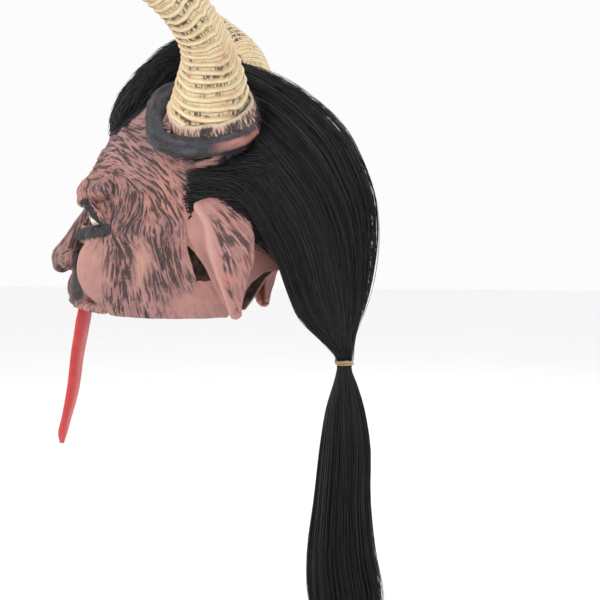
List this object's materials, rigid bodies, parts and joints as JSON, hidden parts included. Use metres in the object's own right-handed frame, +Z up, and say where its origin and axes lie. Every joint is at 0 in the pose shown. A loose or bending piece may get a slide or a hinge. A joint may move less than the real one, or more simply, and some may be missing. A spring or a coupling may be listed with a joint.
{
  "type": "horned devil mask",
  "caption": "Over-the-head latex devil mask with ringed curved horns, drooping ears, a long hanging tongue and black hair tied in a long tail.",
  "frame": {"origin": "centre of the neck opening at the level of the mask's lower edge", "axes": "-Y is the way the face looks, +X is the wearer's left, +Z is up"},
  "size_m": [0.4496, 0.3712, 0.8438],
  "materials": {
    "skin_latex": "matte",
    "ear_latex": "matte",
    "eye_plastic": "gloss",
    "horn_latex": "satin",
    "horn_foam": "matte",
    "collar_latex": "satin",
    "tongue_latex": "satin",
    "cap_cloth": "matte",
    "hair": "satin",
    "tie_elastic": "matte"
  },
  "bodies": {
    "head": {"face_shell": "skin_latex", "left_eye": "eye_plastic", "right_eye": "eye_plastic", "left_horn": "horn_latex", "right_horn": "horn_latex", "left_horn_core": "horn_foam", "right_horn_core": "horn_foam", "left_horn_collar": "collar_latex", "right_horn_collar": "collar_latex", "left_ear": "ear_latex", "right_ear": "ear_latex", "tongue_root": "tongue_latex", "scalp_cap": "cap_cloth", "crown_hair": "hair", "back_hair": "hair", "forelock": "hair", "left_temple_hair": "hair", "right_temple_hair": "hair"},
    "tongue": {"tongue": "tongue_latex"},
    "tie": {"hair_tie": "tie_elastic"},
    "tail": {"ponytail": "hair"}
  },
  "joints": [
    {"name": "tongue_swing", "type": "hinge", "parent": "head", "child": "tongue", "pos_m": [0, -0.121, 0.007], "axis": [1, 0, 0], "range_deg": [-30, 30], "stiffness_Nm_per_rad": 0.12, "springref_deg": -3.44},
    {"name": "tie_swing", "type": "hinge", "parent": "head", "child": "tie", "pos_m": [0, 0.17, -0.052], "axis": [1, 0, 0], "range_deg": [-20, 30]},
    {"name": "tail_swing", "type": "hinge", "parent": "tie", "child": "tail", "pos_m": [0, 0.17, -0.052], "axis": [0, 1, 0], "range_deg": [-35, 35]}
  ]
}
